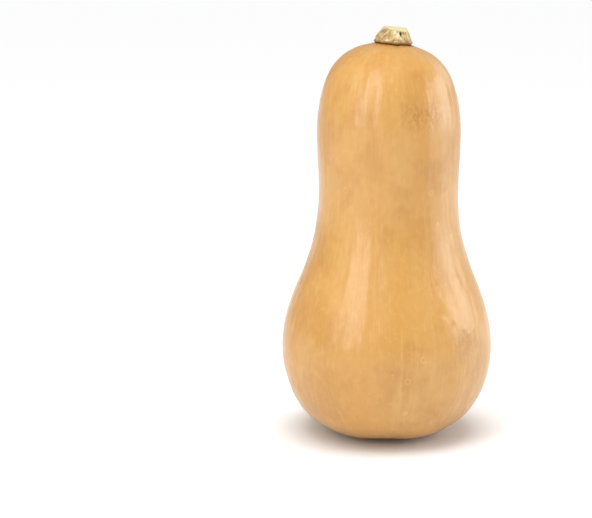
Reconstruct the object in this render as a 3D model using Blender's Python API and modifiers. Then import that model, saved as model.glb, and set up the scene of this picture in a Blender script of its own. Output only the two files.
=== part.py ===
"""A whole butternut squash, standing on its blossom end, with its cut stem on top.

Frame: metres, +Z up. The origin is on the table, in the middle of the fruit's footprint, and the
fruit's axis is +Z. Run it with: blender --background --python part.py
"""

import math

import bmesh
import bpy
import numpy as np

MM = 0.001

# The fruit's half outline from the edge of its footprint up to its top: (radius, height), in
# millimetres. The curve through these points is smooth, so each point marks a change of curvature.
FRUIT_TOP_MM = 232.2
BODY_OUTLINE_MM = (
    (18.0, 0.0),  # outer edge of the footprint
    (29.3, 2.2),
    (46.4, 10.6),
    (58.4, 29.3),
    (63.1, 56.0),  # widest part of the bulb
    (57.4, 82.0),
    (46.9, 108.0),
    (41.1, 138.0),  # waist
    (41.6, 168.0),
    (41.8, 187.0),  # widest part of the neck
    (38.8, 205.2),
    (31.5, 220.2),
    (18.6, 229.4),
    (0.0, FRUIT_TOP_MM),
)
POINTS_PER_SPAN = 4
FRUIT_SEGMENTS = 60

# The blossom end: five low feet round a dimple, flattened where they meet the table.
DIMPLE_RADIUS = 12.0 * MM
DIMPLE_DEPTH = 2.6 * MM
DIMPLE_RINGS = 4
FEET = 5
GROOVE_DEPTH = 0.9 * MM  # how far the grooves between the feet rise off the table
FOOT_SINK = 0.25 * MM  # how much of each foot the table has flattened
GROOVE_FADES_AT = 34.0 * MM  # height at which the grooves are gone

# Slow unevenness of the whole fruit.
OVALITY = 0.006  # share of the radius, wider across one way than the other
RIB_HEIGHT = 0.22 * MM  # ten hardly visible ribs along the fruit
RIBS = 10
NECK_LEAN = 0.2 * MM  # how far the waist stands to one side of the axis
CROWN_TILT = math.radians(1.5)  # the top slopes down to the right
CROWN_DEPTH = 16.0 * MM  # how far down the tilt reaches

# The stem: a short, five-sided, corky stump that flares where it meets the fruit.
STEM_GAP = 0.3 * MM  # left between the two solids
STEM_CENTRE = (1.6 * MM, 0.0)
STEM_BASE_RADIUS = 11.0 * MM
STEM_TOP_RADIUS = 6.6 * MM
STEM_HEIGHT = 8.2 * MM  # above the fruit's top, at the middle of the cut
STEM_SHIFT = 2.1 * MM  # how far the top stands to the right of the base
STEM_CORNERS = 5
STEM_CORNER_SHARE = 0.07  # how far the corners stand out, as a share of the radius
STEM_SEGMENTS = 40
STEM_SIDE_RINGS = 10
STEM_CAP_RINGS = 3
CUT_TILT_FORWARD = math.radians(10)  # the cut slopes down to the front and to the right
CUT_TILT_RIGHT = math.radians(7)

SKIN_COLOUR = (0.76, 0.47, 0.21, 1.0)
CORK_COLOUR = (0.55, 0.47, 0.27, 1.0)
SMOOTH_BELOW = math.radians(40)


def clear_scene():
    for obj in list(bpy.data.objects):
        bpy.data.objects.remove(obj)


def add_collection(name):
    collection = bpy.data.collections.new(name)
    bpy.context.scene.collection.children.link(collection)
    return collection


def add_material(name, colour, roughness):
    material = bpy.data.materials.new(name)
    material.use_nodes = True
    shader = material.node_tree.nodes["Principled BSDF"]
    shader.inputs["Base Color"].default_value = colour
    shader.inputs["Roughness"].default_value = roughness
    shader.inputs["Metallic"].default_value = 0.0
    return material


def smooth_step(t):
    t = np.clip(t, 0.0, 1.0)
    return t * t * (3.0 - 2.0 * t)


def smooth_curve(points, per_span):
    """A natural cubic spline through the points, spaced by their distances, as (n, 2) points."""
    points = np.array(points, float)
    count = len(points)
    spans = np.linalg.norm(np.diff(points, axis=0), axis=1)
    system = np.eye(count)
    slopes_change = np.zeros((count, 2))
    for i in range(1, count - 1):
        system[i, i - 1 : i + 2] = spans[i - 1], 2 * (spans[i - 1] + spans[i]), spans[i]
        after = (points[i + 1] - points[i]) / spans[i]
        before = (points[i] - points[i - 1]) / spans[i - 1]
        slopes_change[i] = 6 * (after - before)
    bends = np.linalg.solve(system, slopes_change)
    curve = []
    for i, span in enumerate(spans):
        for t in np.arange(per_span) / per_span:
            near, far = (1 - t) * span, t * span
            cubic = bends[i] * near**3 + bends[i + 1] * far**3
            start = (points[i] / span - bends[i] * span / 6) * near
            end = (points[i + 1] / span - bends[i + 1] * span / 6) * far
            curve.append(cubic / (6 * span) + start + end)
    return np.array(curve + [points[-1]])


def body_outline():
    """The outline from the footprint's edge to the top, as (radius, height) in metres."""
    return smooth_curve(BODY_OUTLINE_MM, POINTS_PER_SPAN) * MM


def fruit_outline():
    """The whole half outline, from the top down the side and in to the middle of the dimple."""
    body = body_outline()[::-1]
    radii = np.linspace(body[-1][0], 0.0, DIMPLE_RINGS + 3)[1:]
    bowl = np.cos(np.clip(radii / DIMPLE_RADIUS, 0.0, 1.0) * math.pi / 2) ** 2
    return np.concatenate([body, np.stack([radii, DIMPLE_DEPTH * bowl], axis=1)])


def add_turned(name, outline, segments, collection):
    """A solid turned round +Z from a half outline at +X that runs from its top to its bottom."""
    profile = bpy.data.meshes.new(name + "_outline")
    points = [(radius, 0.0, height) for radius, height in outline]
    profile.from_pydata(points, [(i, i + 1) for i in range(len(points) - 1)], [])
    turned = bpy.data.objects.new(name + "_turned", profile)
    collection.objects.link(turned)
    screw = turned.modifiers.new("turn", "SCREW")
    screw.steps = screw.render_steps = segments
    screw.use_merge_vertices = True
    screw.merge_threshold = 0.00001
    graph = bpy.context.evaluated_depsgraph_get()
    mesh = bpy.data.meshes.new_from_object(turned.evaluated_get(graph))
    bpy.data.objects.remove(turned)
    mesh.name = name
    solid = bpy.data.objects.new(name, mesh)
    collection.objects.link(solid)
    return solid


def uneven(places):
    """Moves the points of the turned fruit to where it grew: feet, ribs, ovality and lean."""
    x, y, z = places.T
    radius = np.hypot(x, y)
    angle = np.arctan2(y, x) + math.pi / 2  # zero towards the front, -Y
    outward = np.divide(places[:, :2].T, np.maximum(radius, 1e-9))

    round_the_feet = smooth_step((radius - DIMPLE_RADIUS / 3) / DIMPLE_RADIUS)
    low = round_the_feet * (1 - smooth_step(z / GROOVE_FADES_AT))
    between_feet = (1 + np.cos(FEET * angle)) / 2
    lift = low * (GROOVE_DEPTH * between_feet - FOOT_SINK)

    top = FRUIT_TOP_MM * MM
    up_the_side = smooth_step(z / GROOVE_FADES_AT) * smooth_step((top - z) / GROOVE_FADES_AT)
    swell = up_the_side * (OVALITY * radius * np.cos(2 * angle) + RIB_HEIGHT * np.cos(RIBS * angle))
    lean = NECK_LEAN * np.sin(math.pi * z / top) ** 2
    tilt = -x * math.tan(CROWN_TILT) * smooth_step((z - top + CROWN_DEPTH) / CROWN_DEPTH)

    moved = np.stack([x + outward[0] * swell + lean, y + outward[1] * swell, z + lift + tilt], axis=1)
    moved[:, 2] = np.maximum(moved[:, 2], 0.0)
    return moved


def build_fruit(collection, skin):
    fruit = add_turned("fruit", fruit_outline(), FRUIT_SEGMENTS, collection)
    places = np.empty(len(fruit.data.vertices) * 3)
    fruit.data.vertices.foreach_get("co", places)
    fruit.data.vertices.foreach_set("co", uneven(places.reshape(-1, 3)).ravel())
    finish(fruit, skin)


def height_on_fruit(x, y):
    """The fruit's height near its top, over this place."""
    outline = body_outline()
    crown = outline[outline[:, 1] > outline[:, 1].max() - STEM_BASE_RADIUS][::-1]
    level = float(np.interp(math.hypot(x, y), crown[:, 0], crown[:, 1]))
    return level - x * math.tan(CROWN_TILT)


def stem_radius(height_share, angle):
    """The stem's radius at a share of its height: rolled in at the foot, wide, then narrowing."""
    taper = STEM_BASE_RADIUS + (STEM_TOP_RADIUS - STEM_BASE_RADIUS) * height_share**1.6
    rolled_in = 1 - 0.08 * (1 - smooth_step(height_share / 0.18))
    corners = 1 + STEM_CORNER_SHARE * math.cos(STEM_CORNERS * angle)
    return float(taper * rolled_in * corners)


def cut_height(x, y):
    """The height of the slanting cut across the stem, at x and y from the cut's middle."""
    middle = FRUIT_TOP_MM * MM + STEM_HEIGHT
    return middle + y * math.tan(CUT_TILT_FORWARD) - x * math.tan(CUT_TILT_RIGHT)


def stem_point(height_share, angle, radius_share=1.0):
    """A point of the stem, at a share of its height and of its radius there."""
    radius = stem_radius(height_share, angle) * radius_share
    across, deep = radius * math.cos(angle), radius * math.sin(angle)
    x = STEM_CENTRE[0] + STEM_SHIFT * height_share + across
    y = STEM_CENTRE[1] + deep
    foot = height_on_fruit(x, y) + STEM_GAP
    return x, y, foot + (cut_height(across, deep) - foot) * height_share


def build_stem(collection, cork):
    """A loft up through the stem's sections, closed by the cut on top and the seat below."""
    inward = [1 - i / STEM_CAP_RINGS for i in range(1, STEM_CAP_RINGS)]
    rings = [(0.0, share) for share in reversed(inward)]
    rings += [(i / STEM_SIDE_RINGS, 1.0) for i in range(STEM_SIDE_RINGS + 1)]
    rings += [(1.0, share) for share in inward]

    shape = bmesh.new()
    angles = [math.tau * i / STEM_SEGMENTS for i in range(STEM_SEGMENTS)]
    loops = [[shape.verts.new(stem_point(h, a, r)) for a in angles] for h, r in rings]
    for lower, upper in zip(loops, loops[1:]):
        for i in range(STEM_SEGMENTS):
            j = (i + 1) % STEM_SEGMENTS
            shape.faces.new((lower[i], lower[j], upper[j], upper[i]))
    for loop, height_share in ((loops[0], 0.0), (loops[-1], 1.0)):
        middle = shape.verts.new(stem_point(height_share, 0.0, 0.0))
        for i in range(STEM_SEGMENTS):
            shape.faces.new((loop[i], loop[(i + 1) % STEM_SEGMENTS], middle))
    bmesh.ops.recalc_face_normals(shape, faces=shape.faces)

    mesh = bpy.data.meshes.new("stem")
    shape.to_mesh(mesh)
    shape.free()
    stem = bpy.data.objects.new("stem", mesh)
    collection.objects.link(stem)
    finish(stem, cork)


def finish(solid, material):
    solid.data.materials.clear()
    solid.data.materials.append(material)
    solid.data.shade_smooth()
    solid.data.set_sharp_from_angle(angle=SMOOTH_BELOW)


def main():
    clear_scene()
    squash = add_collection("butternut_squash")
    build_fruit(squash, add_material("skin", SKIN_COLOUR, 0.45))
    build_stem(squash, add_material("cork", CORK_COLOUR, 0.85))


main()
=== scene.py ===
"""Looks for a whole butternut squash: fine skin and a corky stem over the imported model."""
import math

import bpy
import numpy as np
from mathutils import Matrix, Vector, noise
from mathutils.bvhtree import BVHTree


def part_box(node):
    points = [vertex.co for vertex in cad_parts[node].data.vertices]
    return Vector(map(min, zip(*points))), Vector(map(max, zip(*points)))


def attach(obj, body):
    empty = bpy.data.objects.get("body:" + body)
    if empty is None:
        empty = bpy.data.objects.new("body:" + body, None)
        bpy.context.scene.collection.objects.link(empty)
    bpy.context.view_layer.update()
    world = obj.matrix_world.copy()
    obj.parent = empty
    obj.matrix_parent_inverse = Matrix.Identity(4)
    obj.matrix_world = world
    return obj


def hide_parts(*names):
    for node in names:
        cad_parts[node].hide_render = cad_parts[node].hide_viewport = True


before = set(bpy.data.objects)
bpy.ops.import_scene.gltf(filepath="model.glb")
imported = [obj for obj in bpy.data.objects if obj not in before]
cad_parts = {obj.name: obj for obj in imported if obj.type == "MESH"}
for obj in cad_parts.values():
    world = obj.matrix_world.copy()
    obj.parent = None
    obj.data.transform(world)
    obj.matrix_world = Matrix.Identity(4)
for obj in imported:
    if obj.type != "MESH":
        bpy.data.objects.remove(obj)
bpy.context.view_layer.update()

MM = 0.001
TURN = math.tau

# The skin is a grid of meridians and parallels, found by rays from a line inside the fruit.
MERIDIANS = 384
PARALLELS = 252
BULB_MIDDLE = 0.245  # where that line starts and ends, as shares of the fruit's height
NECK_MIDDLE = 0.81
CAP_SHARE = 0.25  # share of the rays that fan out below the line, and again above it
OUTLINE_SAMPLES = 600
OUTLINE_ANGLE = 0.4  # direction, in radians, of the meridian that is measured

# The stem is a grid too, up its side and then in across its cut.
STEM_MERIDIANS = 320
STEM_SIDE_RINGS = 84
STEM_CUT_RINGS = 40

# Small bumps on the skin, and one dimple: degrees round from +X, then height, radius and lift in mm.
BUMPS = (
    (-75, 61, 1.0, 0.16),
    (-125, 225, 1.6, -0.14),
    (-27, 183, 1.1, 0.12),
    (-61, 79, 2.0, 0.22),
    (-52, 78, 1.8, 0.26),
    (-47, 73, 1.6, 0.20),
    (-41, 68, 2.1, 0.26),
    (-36, 62, 1.4, 0.18),
    (-55, 88, 2.4, 0.16),
    (-30, 71, 2.0, 0.14),
    (60, 96, 1.8, 0.22),
    (83, 52, 1.4, 0.18),
    (118, 71, 2.2, 0.20),
    (152, 40, 1.5, 0.18),
    (170, 150, 1.3, 0.15),
    (15, 164, 1.5, 0.14),
    (-170, 93, 1.6, 0.20),
    (-112, 38, 1.3, 0.14),
)

# An old healed scratch on the bulb, through these places: degrees round from +X, height in mm.
SCAR = ((-70, 83), (-61, 80), (-52, 78), (-41, 69), (-30, 60))
SCAR_HEIGHT = 0.22 * MM

# Brown, rubbed patches: degrees round from +X, height, radius in mm, strength.
RUBBED = (
    (-70, 194, 8, 0.8),
    (-55, 194, 8, 0.9),
    (-44, 66, 10, 0.5),
    (95, 60, 14, 0.8),
    (160, 180, 9, 0.5),
    (30, 120, 12, 0.4),
)


# ---------------------------------------------------------------- numbers

def smooth_step(low, high, value):
    t = np.clip((value - low) / (high - low), 0.0, 1.0)
    return t * t * (3.0 - 2.0 * t)


def bell(distance, width):
    return np.exp(-((distance / width) ** 2))


def turn_between(angle, other):
    """The signed turn from one angle to the other, within half a turn."""
    return (angle - other + math.pi) % TURN - math.pi


def rough(points, size, octaves=1, stretch=(1.0, 1.0, 1.0), seed=0.0):
    """Noise from about -1 to 1 at each of the points, with features of this size."""
    scaled = points.reshape(-1, 3) / (size * np.array(stretch)) + seed * 17.3
    values = np.zeros(len(scaled))
    for octave in range(octaves):
        step = 2.0**octave
        values += [noise.noise(Vector(place)) / step for place in scaled * step]
    return values.reshape(points.shape[:-1])


def nearest_place(points, degrees, height):
    """The grid point nearest to a place on the side, given by its direction and its height."""
    angle = math.radians(degrees)
    way = np.array([math.cos(angle), math.sin(angle)])
    along = points[..., :2] @ way
    off_line = np.linalg.norm(points[..., :2] - along[..., None] * way, axis=-1)
    behind = along < 0
    distance = np.hypot(off_line, points[..., 2] - height) + behind
    return points.reshape(-1, 3)[distance.argmin()]


# ---------------------------------------------------------------- meshes

def smooth_shape(node):
    """A search tree of a CAD node's surface, welded and subdivided so that its facets are gone."""
    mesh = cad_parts[node].data.copy()
    shape = bpy.data.objects.new(node + "_smooth", mesh)
    bpy.context.scene.collection.objects.link(shape)
    weld = shape.modifiers.new("weld", "WELD")
    weld.merge_threshold = 0.00001
    subdivide = shape.modifiers.new("subdivide", "SUBSURF")
    subdivide.levels = subdivide.render_levels = 2
    tree = BVHTree.FromObject(shape, bpy.context.evaluated_depsgraph_get())
    bpy.data.objects.remove(shape)
    bpy.data.meshes.remove(mesh)
    return tree


def grid_object(name, rings, tips):
    """A mesh over rings of points, (ring, place, xyz), closed by a fan to each tip: (ring, xyz)."""
    count, around = rings.shape[:2]
    here = np.arange(around)
    after = np.roll(here, -1)
    faces = []
    for ring in range(count - 1):
        low, high = ring * around, (ring + 1) * around
        faces += np.stack([here + low, after + low, after + high, here + high], axis=1).tolist()
    points = rings.reshape(-1, 3).tolist()
    for ring, tip in tips:
        edge = (after, here) if ring == 0 else (here, after)
        ends = np.full(around, len(points))
        faces += np.stack([edge[0] + ring * around, edge[1] + ring * around, ends], axis=1).tolist()
        points.append(list(tip))
    mesh = bpy.data.meshes.new(name)
    mesh.from_pydata(points, [], faces)
    mesh.shade_smooth()
    made = bpy.data.objects.new(name, mesh)
    bpy.context.scene.collection.objects.link(made)
    return made


def grid_normals(rings):
    """Outward unit normals of a grid of rings that wraps round."""
    up = np.gradient(rings, axis=0)
    along = np.roll(rings, -1, axis=1) - np.roll(rings, 1, axis=1)
    normals = np.cross(along, up)
    return normals / np.maximum(np.linalg.norm(normals, axis=2, keepdims=True), 1e-12)


def store(obj, name, values, tips):
    """Keeps a number or a vector for each vertex, for the material to read."""
    kind, field = ("FLOAT", "value") if values.ndim == 2 else ("FLOAT_VECTOR", "vector")
    attribute = obj.data.attributes.new(name, kind, "POINT")
    everywhere = np.concatenate([values.ravel(), np.ravel(tips)])
    attribute.data.foreach_set(field, everywhere.astype(np.float32))


def corner_numbers(mesh):
    """The vertex and the face of each face corner."""
    vertex = np.empty(len(mesh.loops), np.int32)
    mesh.loops.foreach_get("vertex_index", vertex)
    sides = np.empty(len(mesh.polygons), np.int32)
    mesh.polygons.foreach_get("loop_total", sides)
    return vertex, np.repeat(np.arange(len(sides)), sides)


def set_map(obj, across, up):
    layer = obj.data.uv_layers.new(name="OFBake")
    places = 0.002 + 0.996 * np.stack([across, up], axis=1)
    layer.data.foreach_set("uv", places.astype(np.float32).ravel())


def map_like_a_globe(obj, around, lengths):
    """A map with longitude across and the way along a meridian up, cut at the first meridian."""
    vertex, face = corner_numbers(obj.data)
    ring, place = np.divmod(vertex, around)
    at_tip = ring >= len(lengths) - 2  # the two tips come after all the rings
    column = place.astype(float)
    seam_faces = np.unique(face[(place == around - 1) & ~at_tip])
    first_faces = np.unique(face[(place == 0) & ~at_tip])
    over_seam = np.isin(face, np.intersect1d(seam_faces, first_faces))
    column[over_seam & (place == 0)] = around
    fan_middle = np.bincount(face[~at_tip], column[~at_tip]) / np.bincount(face[~at_tip])
    column = np.where(at_tip, fan_middle[face], column)
    tip_way = np.where(place == 0, 0.0, lengths[-1])
    ring_way = lengths[np.minimum(ring + 1, len(lengths) - 1)]
    set_map(obj, column / around, np.where(at_tip, tip_way, ring_way) / lengths[-1])


# ---------------------------------------------------------------- skin

def spine_ray(share, low, high, angle):
    """Where the ray for this share of the way up the skin starts, and which way it goes."""
    if share < CAP_SHARE:
        height, rise = low, (share / CAP_SHARE - 1.0) * math.pi / 2
    elif share > 1 - CAP_SHARE:
        height, rise = high, (share - 1 + CAP_SHARE) / CAP_SHARE * math.pi / 2
    else:
        height, rise = low + (high - low) * (share - CAP_SHARE) / (1 - 2 * CAP_SHARE), 0.0
    flat = math.cos(rise)
    way = Vector((flat * math.cos(angle), flat * math.sin(angle), math.sin(rise)))
    return Vector((0.0, 0.0, height)), way


def even_shares(reach):
    """Shares of the way up that split the outline into equal lengths, and those lengths."""
    shares = np.linspace(0.0, 1.0, OUTLINE_SAMPLES)
    outline = np.array([reach(share, OUTLINE_ANGLE) for share in shares])
    steps = np.linalg.norm(np.diff(outline, axis=0), axis=1)
    lengths = np.concatenate([[0.0], np.cumsum(steps)])
    even = np.linspace(0.0, lengths[-1], PARALLELS + 2)
    return np.interp(even, lengths, shares), even


def blurred(values, times):
    for _ in range(times):
        values = (np.roll(values, 1, axis=1) + 2 * values + np.roll(values, -1, axis=1)) / 4
        inner = (values[:-2] + 2 * values[1:-1] + values[2:]) / 4
        values = np.concatenate([values[:1], inner, values[-1:]])
    return values


def slow_relief(points, angle):
    """Broad swells, long facets and flutes, and shallow dents."""
    beside = np.stack([np.cos(angle), np.sin(angle)], axis=-1) * 50 * MM
    lengthwise = np.concatenate([beside, 0.24 * points[..., 2:]], axis=-1)
    off_axis = smooth_step(4 * MM, 30 * MM, np.hypot(points[..., 0], points[..., 1]))
    swells = 0.45 * rough(points, 42 * MM, 2, (1, 1, 1.6), seed=1)
    facets = 0.42 * rough(lengthwise, 20 * MM, 1, seed=2)
    flutes = 0.24 * rough(lengthwise, 8 * MM, 2, seed=3)
    dents = 0.13 * rough(points, 5.5 * MM, 2, (1, 1, 1.9), seed=4)
    return MM * (swells + dents + off_axis * (facets + flutes))


def bump_relief(points):
    lift = np.zeros(points.shape[:-1])
    for degrees, height, radius, rise in BUMPS:
        middle = nearest_place(points, degrees, height * MM)
        distance = np.linalg.norm(points - middle, axis=-1)
        lift += rise * MM * bell(distance, radius * MM)
    return lift


def scar_mask(points):
    """One along the raised beads of the scar, fading to nought across it and between them."""
    turns, heights = np.array(SCAR, float).T
    way = np.linspace(0, len(SCAR) - 1, 60)
    route = zip(np.interp(way, range(len(SCAR)), turns), np.interp(way, range(len(SCAR)), heights))
    places = [nearest_place(points, degrees, height * MM) for degrees, height in route]
    distance = np.min([np.linalg.norm(points - place, axis=-1) for place in places], axis=0)
    return bell(distance, 1.1 * MM) * smooth_step(-0.15, 0.3, rough(points, 2.8 * MM, seed=5))


def rubbed_mask(points):
    mask = np.zeros(points.shape[:-1])
    for degrees, height, radius, strength in RUBBED:
        middle = nearest_place(points, degrees, height * MM)
        distance = np.linalg.norm(points - middle, axis=-1) / (radius * MM)
        mask = np.maximum(mask, strength * bell(distance, 1.0))
    return mask


def button_radius(angle):
    return MM * (5.0 + 0.35 * np.sin(3 * angle + 0.6) + 0.25 * np.sin(7 * angle))


def blossom_mask(points, angle):
    radius = np.hypot(points[..., 0], points[..., 1])
    edge = button_radius(angle)
    return smooth_step(edge + 0.6 * MM, edge - 0.6 * MM, radius) * (points[..., 2] < 20 * MM)


def blossom_relief(points, angle):
    """The blossom scar: a corky button in the dimple, with creases that run out from it."""
    radius = np.hypot(points[..., 0], points[..., 1])
    below = smooth_step(30 * MM, 8 * MM, points[..., 2])
    edge = button_radius(angle)
    button = 0.9 * smooth_step(edge, edge - 1.2 * MM, radius) - 0.3 * bell(radius, 1.3 * MM)
    creases = 0.22 * np.cos(13 * angle + 2 * np.sin(3 * angle)) * bell(radius - 9 * MM, 4.5 * MM)
    return MM * below * (button + creases)


def stem_collar(points):
    """How far the skin puckers up round the stem, and how close it is to the stem, from 0 to 1."""
    angle, radius = about_stem(points)
    outside = radius - foot_radius(angle)
    near_top = points[..., 2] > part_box("stem")[0].z - 12 * MM
    close = np.where(near_top, np.exp(-np.maximum(outside, 0.0) / (2.4 * MM)), 0.0)
    creases = 0.10 * np.cos(19 * angle + 3 * np.sin(2 * angle)) * close * (1 - close)
    return MM * (0.55 * close + 4 * creases), close


def plain_skin(height, angles):
    """The rings of the fruit's smooth surface, and how far up a meridian each one is."""
    tree = smooth_shape("fruit")
    low, high = BULB_MIDDLE * height, NECK_MIDDLE * height

    def reach(share, angle):
        return tree.ray_cast(*spine_ray(share, low, high, angle))[0]

    shares, lengths = even_shares(reach)
    rings = np.array([[reach(share, angle) for angle in angles] for share in shares[1:-1]], float)
    return blurred(rings, 2), lengths


def build_skin():
    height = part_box("fruit")[1].z
    angles = np.linspace(0.0, TURN, MERIDIANS, endpoint=False)
    rings, lengths = plain_skin(height, angles)
    angle = np.broadcast_to(angles, rings.shape[:2])
    scar, rubbed = scar_mask(rings), rubbed_mask(rings)
    pucker, close = stem_collar(rings)
    relief = slow_relief(rings, angle) + bump_relief(rings) + blossom_relief(rings, angle) + pucker
    relief += SCAR_HEIGHT * scar
    rings = rings + grid_normals(rings) * relief[..., None]
    rings[..., 2] = np.maximum(rings[..., 2], 0.0)

    tips = [(0, rings[0].mean(axis=0)), (len(rings) - 1, rings[-1].mean(axis=0))]
    skin = grid_object("skin", rings, tips)
    along = np.broadcast_to(lengths[1:-1, None] / height, rings.shape[:2])
    ends = [[0, 0, 0], [0, 0, lengths[-1] / height]]
    store(skin, "fibre", np.stack([np.cos(angle), np.sin(angle), along], axis=-1), ends)
    store(skin, "scar", scar, [0, 0])
    store(skin, "rubbed", rubbed, [0, 0])
    store(skin, "crease", close, [0, 1])
    store(skin, "blossom", blossom_mask(rings, angle), [1, 0])
    map_like_a_globe(skin, MERIDIANS, lengths)
    return skin


# ---------------------------------------------------------------- stem

# The flat sides of the cut: which way each faces, in degrees, and how far out it is, in mm.
CUT_SIDES = ((95, 5.0), (2, 6.6), (-84, 6.1), (-152, 5.0), (172, 7.0))

# Ridges down the stem's side: degrees round from +X, half width in degrees, and lift in mm.
RIDGES = (
    (-142, 26, 0.7),
    (-86, 12, 0.7),
    (-34, 18, 0.6),
    (34, 24, 0.7),
    (104, 26, 0.8),
    (176, 26, 0.9),
)

# Stains on the stem's side, by colour; the creamy and pinkish stains are partly painted highlights,
# # where the front ridge and the right side catch the light. Each gives degrees round from +X, share
# of
# # the way up, half width in degrees, half height as a share of the stem's, and strength.
STAINS = {
    "rust": (
        (-164, 0.82, 22, 0.14, 1.0),
        (-166, 0.56, 12, 0.12, 0.9),
        (-93, 0.42, 5, 0.05, 0.8),
        (70, 0.5, 20, 0.2, 0.5),
    ),
    "olive": (
        (-114, 0.66, 13, 0.16, 0.9),
        (-84, 0.22, 16, 0.08, 1.0),
        (-52, 0.24, 9, 0.10, 1.0),
        (-140, 0.40, 10, 0.08, 0.5),
        (130, 0.30, 18, 0.12, 0.8),
        (20, 0.55, 14, 0.2, 0.6),
    ),
    "cream_and_highlight": (
        (-97, 0.88, 9, 0.09, 0.8),
        (-83, 0.72, 7, 0.12, 1.0),
        (-72, 0.52, 7, 0.10, 0.8),
        (-118, 0.38, 16, 0.06, 0.7),
        (-38, 0.62, 6, 0.25, 0.6),
        (150, 0.6, 8, 0.3, 0.6),
        (60, 0.75, 9, 0.2, 0.6),
    ),
    "pink_and_highlight": (
        (-97, 0.62, 10, 0.14, 0.8),
        (-20, 0.26, 14, 0.16, 0.9),
        (-135, 0.15, 14, 0.1, 0.5),
        (95, 0.2, 20, 0.14, 0.6),
    ),
}

FOOT_RADIUS = 10.2 * MM
FOOT_CENTRE = 2.6 * MM  # how far the middle of the foot stands to the right of the fruit's axis
STEM_LEAN = 1.25 * MM  # how far the cut stands to the right of the foot
RING_TOP = 0.32  # share of the way up at which the thick ring of the foot ends
CUT_RISE = 1.5 * MM  # how far the cut's highest corner stands above its middle
CUT_SLOPE_RIGHT = math.radians(7)  # the cut slopes down to the right and to the front
CUT_SLOPE_FORWARD = math.radians(9)
CUT_CORNERS = 14  # the higher, the sharper the cut's corners
SUNK = 0.8 * MM  # how far the foot reaches into the skin
PIT = (-66, 0.80)  # degrees round from +X, and share of the way up


def about_stem(points):
    """Each point's direction and distance from the middle of the stem's foot."""
    offset = points[..., :2] - [FOOT_CENTRE, 0.0]
    return np.arctan2(offset[..., 1], offset[..., 0]), np.linalg.norm(offset, axis=-1)


def ridge_lift(angle):
    lift = np.zeros(np.shape(angle))
    for degrees, width, rise in RIDGES:
        lift += rise * MM * bell(turn_between(angle, math.radians(degrees)), math.radians(width))
    return lift


def foot_radius(angle):
    uneven = 0.25 * MM * np.sin(2 * angle + 1.0) + 0.2 * MM * np.sin(3 * angle)
    return FOOT_RADIUS + 0.35 * ridge_lift(angle) + uneven


def cut_radius(angle):
    """The radius of the cut, a rounded polygon made of its sides."""
    facings, outs = np.array(CUT_SIDES).T[..., None]
    reach = np.maximum(np.cos(angle - np.radians(facings)), 0.0) / (outs * MM)
    return np.sum(reach**CUT_CORNERS, axis=0) ** (-1 / CUT_CORNERS)


def cut_height(offset):
    """The height of the slanting cut, at places given from its middle."""
    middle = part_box("stem")[1].z - CUT_RISE
    slope = np.array([-math.tan(CUT_SLOPE_RIGHT), math.tan(CUT_SLOPE_FORWARD)])
    return middle + offset @ slope


def ground_under(skin, places):
    """The height of the skin below each place."""
    tree = BVHTree.FromObject(skin, bpy.context.evaluated_depsgraph_get())
    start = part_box("stem")[1].z + 10 * MM
    down = Vector((0.0, 0.0, -1.0))
    return np.array([tree.ray_cast(Vector((x, y, start)), down)[0].z for x, y in places])


def inward_share(up, ways):
    """How far the side has come in from the foot to the cut: a thick ring, then a slope."""
    above = up - RING_TOP
    ramp = (above + np.sqrt(above**2 + 0.004)) / 2 / (1 - RING_TOP)
    bend = 1.25 - 0.62 * ways[:, 0]  # the left side bulges and the right side is hollow
    return np.clip(ramp / ramp.max(), 0.0, 1.0) ** bend


def pit_depth(up, angle):
    across = turn_between(angle, math.radians(PIT[0])) * 7.0
    above = (up - PIT[1]) * 9.0
    return bell(across / (0.85 + 0.16 * above), 1.0) * bell(above, 1.35)


def side_radius(up, angle, ways):
    """The stem's radius before its grain: rolled in at the foot, a thick ring, then narrowing."""
    share = inward_share(up, ways)
    ring = 0.30 * MM * bell(up - 0.19, 0.12) - 0.35 * MM * bell(up - RING_TOP - 0.04, 0.05)
    rolled = 1 - 0.12 * smooth_step(0.20, 0.04, up)
    radius = (foot_radius(angle) * (1 - share) + cut_radius(angle) * share) * rolled + ring
    return radius + 0.6 * ridge_lift(angle) * np.sin(math.pi * up**0.8)


def side_height(up, angle, ways, skin):
    """The height of each place on the stem's side, and its height above the foot."""
    foot_places = [FOOT_CENTRE, 0.0] + ways * foot_radius(angle)[:, None]
    ground = ground_under(skin, foot_places) - SUNK
    above = (cut_height(cut_radius(angle)[:, None] * ways) - ground) * up
    return ground + above, above


def side_of_stem(angle, skin):
    """The rings up the stem's side, the share of the way up of each, and its grain in mm."""
    ways = np.stack([np.cos(angle), np.sin(angle)], axis=-1)
    up = np.linspace(0.0, 1.0, STEM_SIDE_RINGS)[:, None]
    radius = side_radius(up, angle, ways)
    height, above = side_height(up, angle, ways, skin)
    along = ways * 9 * MM + 0 * up[..., None]
    wood = np.concatenate([along, 0.3 * above[..., None]], axis=-1)
    lean = np.stack([FOOT_CENTRE + STEM_LEAN * up, 0 * up], axis=-1)
    side = np.concatenate([lean + ways * radius[..., None], height[..., None]], axis=-1)

    grain = 0.26 * rough(wood, 1.7 * MM, 3, seed=6) + 0.30 * rough(side, 3.6 * MM, 2, seed=7)
    grain += 0.08 * rough(side, 0.8 * MM, 1, seed=8)
    still = 0.35 + 0.65 * smooth_step(1.0, 0.9, up)
    relief = MM * (grain * still - 1.9 * pit_depth(up, angle))
    side[..., :2] += ways * relief[..., None]
    return side, up, wood, grain


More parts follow.
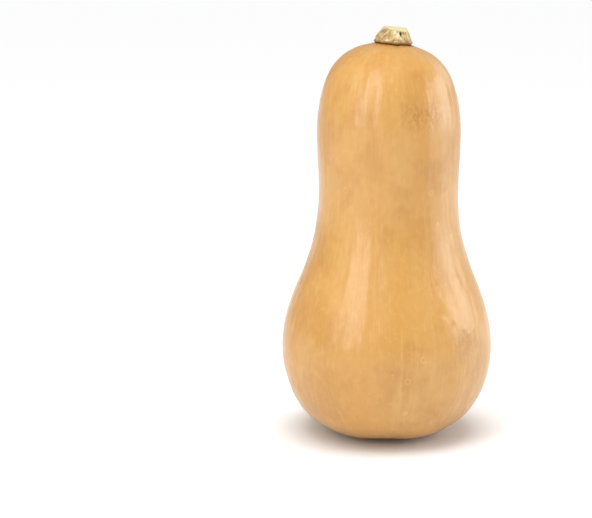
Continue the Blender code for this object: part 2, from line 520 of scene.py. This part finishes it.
def cut_of_stem(rim):
    """The rings in across the sawn cut, from the rim of the stem's side, and each one's share."""
    share = np.linspace(1.0, 0.0, STEM_CUT_RINGS + 1)[1:-1, None]
    centre = np.array([FOOT_CENTRE + STEM_LEAN, 0.0])
    offset = (rim[:, :2] - centre) * share[..., None]
    flat = np.concatenate([centre + offset, np.zeros((*offset.shape[:2], 1))], axis=-1)
    sawn = 0.12 * rough(flat, 2.2 * MM, 3, seed=9) - 0.25 * bell(share, 0.3)
    flat[..., 2] = cut_height(offset) + MM * (sawn * smooth_step(1.0, 0.93, share) - 0.05)
    return flat, share


def stain(name, up, angle):
    mask = np.zeros(np.broadcast_shapes(up.shape, angle.shape))
    for degrees, height, width, tall, strength in STAINS[name]:
        turn = turn_between(angle, math.radians(degrees)) / math.radians(width)
        mask = np.maximum(mask, strength * bell(np.hypot(turn, (up - height) / tall), 1.0))
    return mask


def map_like_a_disc(obj, reach, angle):
    """A map that looks down on the stem, with the cut in its middle and the foot at its edge."""
    vertex, _ = corner_numbers(obj.data)
    out = np.concatenate([reach.ravel(), [1.0, 0.0]])[vertex]
    turn = np.concatenate([np.broadcast_to(angle, reach.shape).ravel(), [0.0, 0.0]])[vertex]
    set_map(obj, 0.5 + 0.5 * out * np.cos(turn), 0.5 + 0.5 * out * np.sin(turn))


def build_stem(skin):
    angle = np.linspace(0.0, TURN, STEM_MERIDIANS, endpoint=False)
    side, up, wood, grain = side_of_stem(angle, skin)
    cut, share = cut_of_stem(side[-1])
    rings = np.concatenate([side, cut])
    tips = [(0, side[0].mean(axis=0)), (len(rings) - 1, cut[-1].mean(axis=0))]
    stem = grid_object("stem_stump", rings, tips)

    on_side, on_cut = np.ones(side.shape[:2]), np.ones(cut.shape[:2])
    store(stem, "cut", np.concatenate([0 * on_side, on_cut]), [0, 1])
    store(stem, "edge", np.concatenate([0 * on_side, share * on_cut]), [0, 0])
    store(stem, "pit", np.concatenate([pit_depth(up, angle), 0 * on_cut]), [0, 0])
    store(stem, "up", np.concatenate([up * on_side, on_cut]), [0, 1])
    ridge = ridge_lift(angle) / MM + grain
    store(stem, "ridge", np.concatenate([ridge, 0 * on_cut]), [0, 0])
    store(stem, "wood", np.concatenate([wood, cut]) / MM, [[0, 0, 0], [0, 0, 0]])
    for name in STAINS:
        store(stem, name, np.concatenate([stain(name, up, angle), 0 * on_cut]), [0, 0])
    map_like_a_disc(stem, np.concatenate([1 - 0.5 * up * on_side, 0.5 * share * on_cut]), angle)
    return stem


# ---------------------------------------------------------------- materials

def paint(red, green, blue):
    """A colour as the eye sees it, 0 to 255, as the linear colour that a shader takes."""
    shares = np.array([red, green, blue]) / 255
    dim, bright = shares / 12.92, ((shares + 0.055) / 1.055) ** 2.4
    return (*np.where(shares < 0.04045, dim, bright).tolist(), 1.0)


class Looks:
    """A material with a Principled shader, built one node at a time."""

    def __init__(self, name):
        self.material = bpy.data.materials.new(name)
        self.material.use_nodes = True
        self.tree = self.material.node_tree
        self.shader = self.tree.nodes["Principled BSDF"]

    def add(self, kind, inputs, output=0, **settings):
        node = self.tree.nodes.new(kind)
        for name, value in settings.items():
            setattr(node, name, value)
        for name, value in inputs.items():
            self.put(node.inputs[name], value)
        return node.outputs[output]

    def put(self, socket, value):
        if isinstance(value, bpy.types.NodeSocket):
            self.tree.links.new(value, socket)
        else:
            socket.default_value = value

    def set(self, **inputs):
        for name, value in inputs.items():
            self.put(self.shader.inputs[name.replace("_", " ")], value)

    def place(self):
        return self.add("ShaderNodeTexCoord", {}, "Object")

    def number(self, name):
        return self.add("ShaderNodeAttribute", {}, "Fac", attribute_name=name)

    def vector(self, name):
        return self.add("ShaderNodeAttribute", {}, "Vector", attribute_name=name)

    def scaled(self, vector, scale):
        return self.add("ShaderNodeVectorMath", {0: vector, 1: scale}, operation="MULTIPLY")

    def noise(self, vector, scale, detail=2.0, roughness=0.5):
        """Cloudy noise, with about this many features to each unit of the vector."""
        values = {"Vector": vector, "Scale": scale, "Detail": detail, "Roughness": roughness}
        return self.add("ShaderNodeTexNoise", values, "Fac")

    def cells(self, vector, scale):
        """The distance from the middle of the nearest of many cells."""
        return self.add("ShaderNodeTexVoronoi", {"Vector": vector, "Scale": scale}, "Distance")

    def fade(self, value, low, high, start=0.0, end=1.0):
        """Smoothly from start to end as the value goes from low to high."""
        values = {"Value": value, "From Min": low, "From Max": high, "To Min": start, "To Max": end}
        return self.add("ShaderNodeMapRange", values, interpolation_type="SMOOTHSTEP")

    def math(self, operation, a, b):
        return self.add("ShaderNodeMath", {0: a, 1: b}, operation=operation)

    def times(self, a, b):
        return self.math("MULTIPLY", a, b)

    def mix(self, factor, colour, other):
        """The first colour where the factor is 0, the other where it is 1."""
        node = self.tree.nodes.new("ShaderNodeMix")
        node.data_type = "RGBA"
        self.put(node.inputs["Factor"], factor)
        self.put(node.inputs[6], colour)
        self.put(node.inputs[7], other)
        return node.outputs[2]

    def bump(self, height, strength, depth, normal=None):
        inputs = {"Height": height, "Strength": strength, "Distance": depth}
        if normal is not None:
            inputs["Normal"] = normal
        return self.add("ShaderNodeBump", inputs)


LENGTHWISE = (1, 1, 0.6)  # stretches a noise up the fruit

# The skin's colours. The fibres are broad or fine, and each kind has light and dark ones.
TAN = paint(193, 140, 65)
PALER_TAN = paint(196, 147, 77)
DEEPER_TAN = paint(185, 133, 62)
BROAD_LIGHT = paint(208, 167, 99)
BROAD_DARK = paint(182, 131, 61)
FINE_LIGHT = paint(212, 175, 109)
FINE_DARK = paint(178, 126, 59)
MOTTLE_LIGHT = paint(226, 176, 111)
MOTTLE_DARK = paint(183, 127, 62)
PALE_SPOT = paint(234, 192, 133)
SPECK = paint(149, 95, 40)
RUBBED_BROWN = paint(157, 107, 50)
SCAR_TAN = paint(174, 128, 67)
# Painted shade: dark brown in the crease where the skin meets the stem.
STEM_CREASE_SHADE = paint(106, 64, 21)
BLOSSOM_CORK = paint(117, 88, 48)

# The skin's gloss: a satin skin under a thin coat of natural wax.
SKIN_ROUGHNESS = 0.37
WAX_WEIGHT = 0.42
WAX_ROUGHNESS = 0.20


def skin_fibres(looks, fine_fibre, broad_fibre, patches):
    """The tan skin, with soft clouds of colour and light and dark fibres that run lengthwise."""
    clouds = looks.noise(looks.scaled(looks.vector("fibre"), (2.2, 2.2, 1.6)), 1.0, 2.0, 0.5)
    colour = looks.mix(looks.fade(clouds, 0.36, 0.64), TAN, PALER_TAN)
    colour = looks.mix(looks.fade(patches, 0.45, 0.66), colour, DEEPER_TAN)
    fibrous = looks.fade(looks.noise(looks.place(), 17.0, 2.0), 0.38, 0.62, 0.1, 1.0)
    for strength, shade in (
        (looks.fade(broad_fibre, 0.5, 0.76, 0.0, 0.35), BROAD_LIGHT),
        (looks.fade(broad_fibre, 0.46, 0.26, 0.0, 0.22), BROAD_DARK),
        (looks.fade(fine_fibre, 0.52, 0.76, 0.0, 0.24), FINE_LIGHT),
        (looks.fade(fine_fibre, 0.46, 0.26, 0.0, 0.15), FINE_DARK),
    ):
        colour = looks.mix(looks.times(fibrous, strength), colour, shade)
    return colour


def skin_spots(looks, colour, freckles):
    """Fine mottling, faint pale rings, pale freckles and a few dark specks."""
    place = looks.place()
    mottle = looks.noise(looks.scaled(place, LENGTHWISE), 330.0, 2.0, 0.6)
    colour = looks.mix(looks.fade(mottle, 0.45, 0.8, 0.0, 0.14), colour, MOTTLE_LIGHT)
    colour = looks.mix(looks.fade(mottle, 0.55, 0.2, 0.0, 0.16), colour, MOTTLE_DARK)

    spots = looks.cells(place, 62.0)
    rings = looks.times(looks.fade(spots, 0.15, 0.11), looks.fade(spots, 0.05, 0.10))
    some = looks.fade(looks.noise(place, 24.0, 1.0), 0.52, 0.6)
    colour = looks.mix(looks.times(looks.times(rings, some), 0.18), colour, PALE_SPOT)

    some = looks.fade(looks.noise(place, 140.0, 1.0), 0.58, 0.64)
    pale = looks.times(looks.fade(freckles, 0.26, 0.10), some)
    colour = looks.mix(looks.times(pale, 0.14), colour, PALE_SPOT)

    some = looks.fade(looks.noise(place, 31.0, 1.0), 0.60, 0.68)
    specks = looks.times(looks.fade(looks.cells(place, 95.0), 0.085, 0.04), some)
    return looks.mix(looks.times(specks, 0.35), colour, SPECK)


def skin_marks(looks, colour):
    """Rubbed patches, the scar, painted shade in the crease round the stem and the blossom scar."""
    grit = looks.noise(looks.scaled(looks.place(), LENGTHWISE), 520.0, 2.0)
    rubbed = looks.times(looks.number("rubbed"), looks.fade(grit, 0.44, 0.56))
    # Painted shade: the skin darkens towards the crease where it meets the stem.
    painted_crease_shade = looks.math("POWER", looks.number("crease"), 2.0)
    for mask, strength, shade in (
        (rubbed, 0.6, RUBBED_BROWN),
        (looks.number("scar"), 0.25, SCAR_TAN),
        (painted_crease_shade, 0.75, STEM_CREASE_SHADE),
        (looks.number("blossom"), 0.85, BLOSSOM_CORK),
    ):
        colour = looks.mix(looks.times(mask, strength), colour, shade)
    return colour


def skin_bumps(looks, fine_fibre, freckles):
    pores = looks.fade(freckles, 0.0, 0.28)
    pebbles = looks.noise(looks.scaled(looks.place(), LENGTHWISE), 260.0, 3.0, 0.6)
    bumps = looks.bump(fine_fibre, 0.4, 0.4 * MM)
    bumps = looks.bump(pores, 0.12, 0.2 * MM, bumps)
    return looks.bump(pebbles, 0.3, 0.4 * MM, bumps)


def skin_looks():
    looks = Looks("butternut_skin")
    place, fibre = looks.place(), looks.vector("fibre")
    fine_fibre = looks.noise(looks.scaled(fibre, (58, 58, 17)), 1.0, 3.0, 0.6)
    broad_fibre = looks.noise(looks.scaled(fibre, (17, 17, 4.5)), 1.0, 3.0, 0.55)
    patches = looks.noise(place, 34.0, 3.0, 0.6)
    freckles = looks.cells(looks.scaled(place, (1, 1, 0.75)), 330.0)

    colour = skin_fibres(looks, fine_fibre, broad_fibre, patches)
    colour = skin_marks(looks, skin_spots(looks, colour, freckles))
    along = looks.fade(broad_fibre, 0.3, 0.7, -0.04, 0.04)
    across = looks.fade(patches, 0.3, 0.7, -0.05, 0.05)
    roughness = looks.math("ADD", looks.math("ADD", along, across), SKIN_ROUGHNESS)
    looks.set(Base_Color=colour, Roughness=roughness, Normal=skin_bumps(looks, fine_fibre, freckles))
    looks.set(Specular_IOR_Level=0.5, Coat_Weight=WAX_WEIGHT, Coat_Roughness=WAX_ROUGHNESS)
    return looks.material


# The stem's colours.
CORK_DARK = paint(172, 138, 84)
CORK_LIGHT = paint(212, 187, 136)
GROOVE = paint(106, 74, 36)
GROOVE_BESIDE_RIDGE = paint(112, 80, 42)
PALE_WOOD = paint(228, 214, 174)
WORN_RIDGE = paint(222, 208, 168)
PALE_FLECK = paint(226, 214, 176)
RING_BROWN = paint(136, 96, 50)
# Painted shade at the stem's foot, in the crease where it meets the skin.
FOOT_CREASE_SHADE = paint(120, 74, 28)
# Painted shade inside the pit in the stem's side.
PIT_SHADE = paint(44, 34, 8)
# The creamy and pinkish stain colours are partly painted highlights.
STAIN_COLOURS = {
    "olive": paint(144, 112, 30),
    "pink_and_highlight": paint(216, 166, 132),
    "cream_and_highlight": paint(238, 226, 190),
    "rust": paint(112, 66, 28),
}
SAWN_CREAM = paint(206, 192, 144)
SAWN_GREEN = paint(190, 192, 156)
SAWN_FIBRE = paint(188, 172, 122)
SAWN_EDGE = paint(196, 168, 104)


def stem_side(looks, grain, lumps, fine):
    """Weathered cork: pale worn ridges, dark grooves, stains, and a brown ring at the foot; painted
    shade at the very foot and in the pit, and painted highlights in some of the stains.
    """
    up, ridge = looks.number("up"), looks.number("ridge")
    colour = looks.mix(looks.fade(lumps, 0.35, 0.65), CORK_DARK, CORK_LIGHT)
    for strength, shade in (
        (looks.fade(grain, 0.56, 0.38, 0.0, 0.75), GROOVE),
        (looks.fade(grain, 0.52, 0.68, 0.0, 0.5), PALE_WOOD),
        (looks.fade(ridge, 0.5, 1.1, 0.0, 0.35), WORN_RIDGE),
        (looks.fade(ridge, 0.2, -0.3, 0.0, 0.6), GROOVE_BESIDE_RIDGE),
        (looks.fade(fine, 0.55, 0.7, 0.0, 0.4), PALE_FLECK),
    ):
        colour = looks.mix(strength, colour, shade)

    ring = looks.fade(up, RING_TOP + 0.12, RING_TOP - 0.10, 0.0, 0.7)
    colour = looks.mix(looks.times(ring, looks.fade(lumps, 0.3, 0.6, 0.5, 1.0)), colour, RING_BROWN)
    # Stains, with painted highlights among the creamy and pinkish ones, on the front ridge and right
    # side.
    for name, shade in STAIN_COLOURS.items():
        broken = looks.times(looks.number(name), looks.fade(lumps, 0.3, 0.6, 0.4, 0.9))
        colour = looks.mix(broken, colour, shade)
    # Painted shade: darker towards the foot, where the stem meets the skin.
    colour = looks.mix(looks.fade(up, 0.33, 0.13, 0.0, 0.9), colour, FOOT_CREASE_SHADE)
    # Painted shade: near black in the pit.
    return looks.mix(looks.number("pit"), colour, PIT_SHADE)


def stem_cut(looks, lumps):
    """The sawn cut: pale and slightly green, with the ends of fibres and a browner edge."""
    colour = looks.mix(looks.fade(lumps, 0.4, 0.62), SAWN_CREAM, SAWN_GREEN)
    fibres = looks.fade(looks.cells(looks.place(), 900.0), 0.45, 0.1, 0.0, 0.5)
    colour = looks.mix(fibres, colour, SAWN_FIBRE)
    return looks.mix(looks.fade(looks.number("edge"), 0.84, 0.97, 0.0, 0.5), colour, SAWN_EDGE)


def stem_looks():
    looks = Looks("stem_cork")
    place = looks.place()
    grain = looks.noise(looks.scaled(looks.vector("wood"), (1.6, 1.6, 1.1)), 1.0, 4.0, 0.65)
    lumps = looks.noise(place, 420.0, 3.0, 0.6)
    fine = looks.noise(place, 1500.0, 2.0, 0.6)

    side = stem_side(looks, grain, lumps, fine)
    colour = looks.mix(looks.number("cut"), side, stem_cut(looks, lumps))
    bumps = looks.bump(looks.math("ADD", grain, lumps), 0.5, 0.5 * MM)
    bumps = looks.bump(fine, 0.4, 0.2 * MM, bumps)
    looks.set(Base_Color=colour, Roughness=0.85, Normal=bumps)
    return looks.material


# ---------------------------------------------------------------- stage

AIM = Vector((0.0, 0.0, 0.13))  # the lights point at the middle of the squash
LIGHT_DISTANCE = 1.0


def add_camera():
    """A long lens, a little above the squash and a little to its left."""
    data = bpy.data.cameras.new("camera")
    data.lens = 108
    data.sensor_width = 36
    camera = bpy.data.objects.new("camera", data)
    camera.location = (-0.0538, -1.030, 0.3143)
    camera.rotation_euler = (math.radians(78.5), 0.0, 0.0)
    bpy.context.scene.collection.objects.link(camera)
    bpy.context.scene.camera = camera


def direction(azimuth, elevation):
    """The way to a light. Azimuth 0 is the camera's side of the squash, and 90 its right."""
    turn, rise = math.radians(azimuth), math.radians(elevation)
    return Vector((math.sin(turn) * math.cos(rise), -math.cos(turn) * math.cos(rise), math.sin(rise)))


def add_light(name, kind, energy, way):
    data = bpy.data.lights.new(name, kind)
    data.energy = energy
    light = bpy.data.objects.new(name, data)
    light.location = AIM + way * LIGHT_DISTANCE
    light.rotation_euler = way.to_track_quat("Z", "Y").to_euler()
    light.visible_camera = False
    bpy.context.scene.collection.objects.link(light)
    return light


def add_overhead(strength, way):
    """A very soft light from above that leaves no highlight of its own on the skin."""
    light = add_light("overhead", "SUN", strength, way)
    light.visible_glossy = False
    light.data.angle = math.radians(45)


def add_softbox(name, power, way, width, height):
    light = add_light(name, "AREA", power, way)
    light.data.shape = "RECTANGLE"
    light.data.size, light.data.size_y = width, height


def add_lights():
    add_overhead(2.15, direction(-10, 84))
    add_softbox("left_softbox", 6.7, direction(-42, 33), 0.48, 1.20)
    add_softbox("right_softbox", 5.1, direction(93, 16), 0.90, 0.62)
    add_softbox("rear_softbox", 0.5, direction(136, 23), 0.42, 0.42)


def add_world():
    world = bpy.data.worlds.new("studio")
    world.use_nodes = True
    background = world.node_tree.nodes["Background"]
    background.inputs["Color"].default_value = (1.0, 1.0, 1.0, 1.0)
    background.inputs["Strength"].default_value = 0.48
    bpy.context.scene.world = world
    bpy.context.scene.view_settings.view_transform = "Standard"


def add_floor():
    bpy.ops.mesh.primitive_plane_add(size=30, location=(0, 0, -0.2 * MM))
    floor = bpy.context.object
    floor.name = "floor"
    looks = Looks("pale_paper")
    looks.set(Base_Color=(0.84, 0.84, 0.84, 1.0), Roughness=1.0, Specular_IOR_Level=0.0)
    floor.data.materials.append(looks.material)


def place_piece(piece, node, material):
    piece.data.materials.append(material)
    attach(piece, "root")
    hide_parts(node)


add_camera()
add_lights()
add_world()
add_floor()
skin = build_skin()
stem = build_stem(skin)
place_piece(skin, "fruit", skin_looks())
place_piece(stem, "stem", stem_looks())
